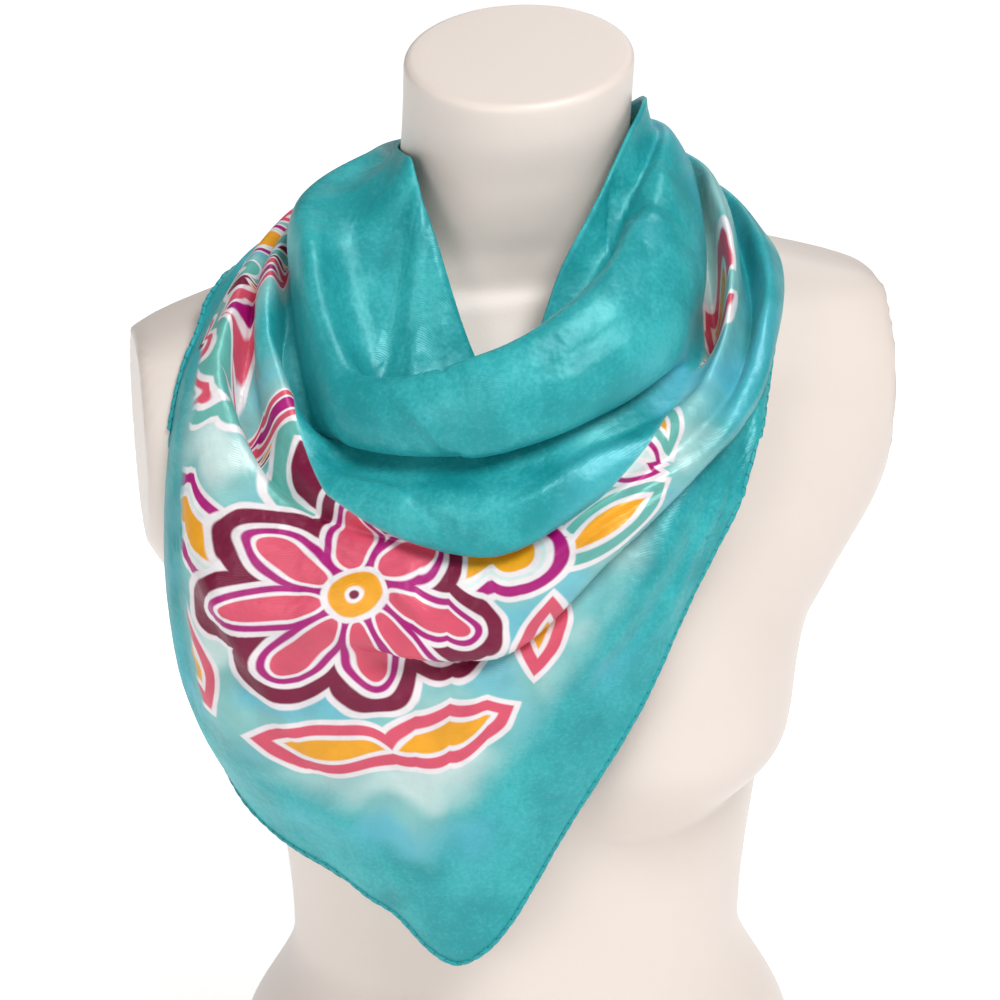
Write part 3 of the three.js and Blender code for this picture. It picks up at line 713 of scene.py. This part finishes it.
def rolled_hem(name, edge, out, roll):
    """A tube along an edge: a ring round each point in the plane of the cloth's normal and the
    direction away from the cloth, its radius drawn in at every stitch by a narrow bell."""
    fine, around = 4, 10
    t = np.arange((len(edge) - 1) * fine + 1) / fine
    steps = np.arange(len(edge))
    path = np.stack([np.interp(t, steps, edge[:, k]) for k in range(3)], -1)
    normal = np.stack([np.interp(t, steps, out[:, k]) for k in range(3)], -1)
    ahead = np.gradient(path, axis=0)
    ahead /= np.linalg.norm(ahead, axis=-1, keepdims=True)
    aside = np.cross(ahead, normal)
    aside /= np.linalg.norm(aside, axis=-1, keepdims=True)
    normal = np.cross(aside, ahead)
    length = run_length(path[:, None], 0)[:, 0]
    pinch = np.exp(-(((length / STITCH) % 1 - 0.5) / 0.16) ** 2)
    radius = roll * (1 + 0.07 * np.sin(length / 3.7) + 0.05 * np.sin(length / 11.3) - 0.24 * pinch)
    path = path + (0.55 * roll) * aside
    angle = 2 * np.pi * np.arange(around) / around
    rings = path[:, None] + radius[:, None, None] * (np.cos(angle)[:, None] * normal[:, None]
                                                     + np.sin(angle)[:, None] * aside[:, None])
    count = len(path) * around
    faces = ring_faces(len(path), around).tolist()
    faces += [list(range(around))[::-1], list(range(count - around, count))]
    run = np.repeat(length, around)
    return make_piece(name, rings.reshape(-1, 3), faces, np.stack([run, np.tile(angle, len(path))], -1))


def hem_finish():
    """The silk's border colour, a little darker, with a dark thread at each stitch."""
    shade = Shade("rolled_hem", Sheen_Weight=0.2, Sheen_Roughness=0.35)
    flat = shade.node("ShaderNodeUVMap", {"uv_map": "flat"}, {})
    run, turn = shade.split(flat)
    patches = shade.noise(shade.node("ShaderNodeTexCoord", {}, {}, out="Object"), 60.0, 3.0)
    colour = shade.mix(patches, DEEP_TEAL, TEAL)
    gap = ((run * 1000 + turn * 350) / STITCH - 0.5).math("FRACT") - 0.5
    thread = shade.step(abs(abs(gap) - 0.5), 0.09, 0.05)
    colour = shade.mix(thread * 0.6, colour, paint(0, 62, 70))
    strands = shade.noise(flat, 900.0, 1.0)
    bump = shade.node("ShaderNodeBump", {}, {"Strength": 0.3, "Distance": 0.0003, "Height": strands})
    return shade.finish(Base_Color=colour, Roughness=0.5, Normal=bump)


hem_cloth = hem_finish()
hem_piece = rolled_hem("front_hem", silk[:, -1], silk_out[:, -1], HEM_ROLL)
hem_piece.data.materials.append(hem_cloth)
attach(hem_piece, "root")
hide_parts("drape_hem")

# The lower layer. The other half of the folded square lies just behind the front and shows only as
# a narrow edge with its own rolled hem at the lower left.
UNDER_WALL, UNDER_DROP, UNDER_ROLL = 0.7, 1.3, 0.9
# Its ends as azimuths, and the fold where it starts
UNDER_FROM, UNDER_TO, UNDER_TOP = -66.5, 38.8, 13.5
# How far the lower layer hangs past the hem: azimuth, distance
PEEK = np.array([[-68, 2.5], [-60, 4], [-50, 5], [-46, 1], [-42, -3], [-24, -4], [40, -3]])
picked = (column_azimuths >= UNDER_FROM) & (column_azimuths <= UNDER_TO)
below = row_places >= UNDER_TOP
under = silk[picked][:, below] - UNDER_DROP * silk_out[picked][:, below]
hang = under[:, -1] - under[:, -4]
hang /= np.linalg.norm(hang, axis=-1, keepdims=True)
share = np.clip((row_places[below] - 15.2) / 0.8, 0, 1)[None, :, None]
under = under + share * np.interp(column_azimuths[picked], *PEEK.T)[:, None, None] * hang[:, None]
under_out = grid_normals(under)
under_runs = [run[picked][:, below] for run in (left_run, right_run)]
under_piece = silk_shell("under_silk", under, under_out, UNDER_WALL, under_runs,
                         {"printed": 0 * under_runs[0]})
under_piece.data.materials.append(silk_cloth)
under_hem = rolled_hem("under_edge", under[:, -1], under_out[:, -1], UNDER_ROLL)
under_hem.data.materials.append(hem_cloth)
for piece, slot, node in ((under_piece, "printed_silk", "under_layer"),
                          (under_hem, "rolled_hem", "under_hem")):
    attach(piece, "root")
    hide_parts(node)

# The knot at the nape. The two ends of the folded square are crossed and tied once over, one end
# wrapped round the other, so a creased band lies across two gathered shoulders of silk.
KNOT_TURN = 0.25
KNOT_REACH, KNOT_HEIGHT = 91, 475


def knot_skin():
    """Rings along the azimuth between the two gathered ends. A ring is an oval that swells towards the
    middle, with creases that run along the knot and, over the middle, a raised band that lies askew
    with creases of its own round the knot."""
    steps, around = 96, 120
    k = np.linspace(0, 1, steps + 1)[:, None]
    t = 2 * np.pi * np.arange(around)[None] / around
    azimuth = np.radians(NAPE_END + KNOT_TURN + (360 - 2 * NAPE_END - 2 * KNOT_TURN) * k)
    bulge = np.sin(np.pi * k) ** 0.8
    askew = k - 0.5 - 0.06 * np.sin(t + 0.8)
    band = np.exp(-(askew / 0.2) ** 4)
    lips = np.exp(-((np.abs(askew) - 0.2) / 0.05) ** 2)
    along = np.sin(9 * t + 2.2 * np.sin(2 * t) + 4 * k) * (1 - band)
    over = np.sin(26 * askew + 1.5 * np.sin(t)) * band
    scale = (1 + 0.05 * np.sin(3 * t + 5 * k) + 0.035 * bulge * along
             + 0.022 * over - 0.06 * lips * bulge)
    wide = (6.5 + 6 * bulge + 2 * band) * np.cos(t) * scale
    tall = (14 + 1.5 * bulge + 2.5 * band) * np.sin(t) * scale
    reach = KNOT_REACH + 4 * bulge + wide * 0.86 - tall * 0.5
    points = np.stack([reach * np.sin(azimuth), -reach * np.cos(azimuth),
                       KNOT_HEIGHT + wide * 0.5 + tall * 0.86], -1)
    ends = points[[0, -1]].mean(1)
    faces = ring_faces(steps + 1, around).tolist()
    j = np.arange(around)
    start, count = steps * around, (steps + 1) * around
    faces += np.stack([np.full(around, count), (j + 1) % around, j], -1).tolist()
    faces += np.stack([np.full(around, count + 1), start + j, start + (j + 1) % around], -1).tolist()
    spread = np.stack([60 * k + 0 * t, 300 + 14 * t + 0 * k], -1).reshape(-1, 2)
    spread = np.concatenate([spread, spread[[0, -1]]])
    return np.concatenate([points.reshape(-1, 3), ends]), faces, spread


knot_points, knot_faces, knot_spread = knot_skin()
knot_piece = make_piece("knot_silk", knot_points, knot_faces, knot_spread,
                        {"printed": np.zeros(len(knot_points))})
knot_piece.data.materials.append(silk_cloth)
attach(knot_piece, "root")
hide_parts("nape_knot")

# The two free ends. Each hangs from the knot as a pleated strip that opens downwards and runs out to
# a corner of the square, with the hem rolled along its outer edge.
TAILS = {
    "right": {"side": -1, "drift": 12, "length": 268, "wide": 52, "flat": (0.1, 0.268), "area": 0.0135},
    "left": {"side": 1, "drift": 16, "length": 246, "wide": 48, "flat": (0.09, 0.246), "area": 0.0115},
}
# Height of the tails' tops, half their gap, their cloth's fullness and its start in the flat cloth
TAIL_TOP, TAIL_GAP, TAIL_FULLNESS, TAIL_RUN = 456.6, 2.4, 2.4, 620


def tail_grid(side, drift, length, wide):
    """A strip down from the knot. It opens to its width, then narrows straight to the corner; its
    depth is a cosine across it, two and a half pleats wide, that flattens as the strip narrows."""
    rows, columns, pleats = 120, 72, 2.5
    k, u = np.meshgrid(np.linspace(0, 1, rows + 1), np.linspace(-0.5, 0.5, columns + 1))
    open_width = 13 + (wide - 13) * np.minimum(1, 2.2 * k) ** 0.8
    width = np.minimum(open_width, 0.92 * length * (1 - k) + 3)
    depth = np.minimum(3.2, (width / pleats) ** 2 / 50)
    middle = side * (TAIL_GAP + open_width / 2 + drift * k)
    wave = 1 + np.cos(2 * np.pi * pleats * u + 0.5 * np.sin(5 * k))
    y = 96 + 8 * np.minimum(1, 3 * k) + depth * wave + 0.5 * np.sin(9 * k + 4 * u) * k
    points = np.stack([middle + u * width, y, TAIL_TOP - length * k], -1)
    return points, u, k


for name, shape in TAILS.items():
    size, area = shape.pop("flat"), shape.pop("area")
    grid, u, k = tail_grid(**shape)
    grid = lift_clear(grid, REST)
    out = grid_normals(grid)
    from_edge = (0.5 - shape["side"] * u) * TAIL_FULLNESS * shape["wide"]
    runs = (from_edge, TAIL_RUN + shape["length"] * k)
    outer_edge = np.exp(-(from_edge / 3.2) ** 2)
    wall = SILK_WALL + 0.9 * outer_edge
    marks = {"printed": ramp01(from_edge, 14, 30) * ramp01(1 - k, 0.15, 0.35)}
    piece = silk_shell(f"tail_{name}_silk", grid, out, wall, runs, marks)
    piece.data.materials.append(silk_cloth)
    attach(piece, "root")
    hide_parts(f"tail_{name}")

# The floor and the light of a plain studio: one pale floor that glows with painted light, grey in front of
# the form and white behind it, and broad soft lamps.
floor_mesh = bpy.data.meshes.new("floor")
floor_mesh.from_pydata([(-9, -6, 0), (9, -6, 0), (9, 14, 0), (-9, 14, 0)], [], [(0, 1, 2, 3)])
floor = bpy.data.objects.new("floor", floor_mesh)
bpy.context.scene.collection.objects.link(floor)
# The floor's emission is painted light: a glow that rises from grey near the camera to white behind the
# form.
floor_shade = Shade("floor_paper_painted_glow", Base_Color=(0.9, 0.9, 0.9, 1), Roughness=0.85, Emission_Strength=0.8)
floor_place = floor_shade.split(floor_shade.node("ShaderNodeTexCoord", {}, {}, out="Object"))[1]
glow = floor_shade.mix(floor_shade.step(floor_place, -0.5, 0.5), (0.3, 0.3, 0.3, 1), (1, 1, 1, 1))
floor.data.materials.append(floor_shade.finish(Emission_Color=glow))

world = bpy.data.worlds.new("studio")
world.use_nodes = True
world.node_tree.nodes["Background"].inputs[0].default_value = (1, 1, 1, 1)
world.node_tree.nodes["Background"].inputs[1].default_value = 0.24
bpy.context.scene.world = world
bpy.context.scene.view_settings.view_transform = "Standard"

# name, place, aim, width, power
LAMPS = [
    ["key", (0.45, -1.3, 2.0), (0, 0, 0.36), 0.9, 33],
    ["left", (-1.3, -1.6, 0.9), (0, 0, 0.36), 0.8, 8],
    ["back", (0.7, 1.6, 1.5), (0, 0, 0.36), 1.2, 5],
]
for name, place, aim, width, power in LAMPS:
    lamp = bpy.data.lights.new(name, "AREA")
    lamp.size, lamp.energy = width, power
    holder = bpy.data.objects.new(name, lamp)
    holder.location = place
    holder.rotation_euler = (Vector(place) - Vector(aim)).to_track_quat("Z", "Y").to_euler()
    bpy.context.scene.collection.objects.link(holder)
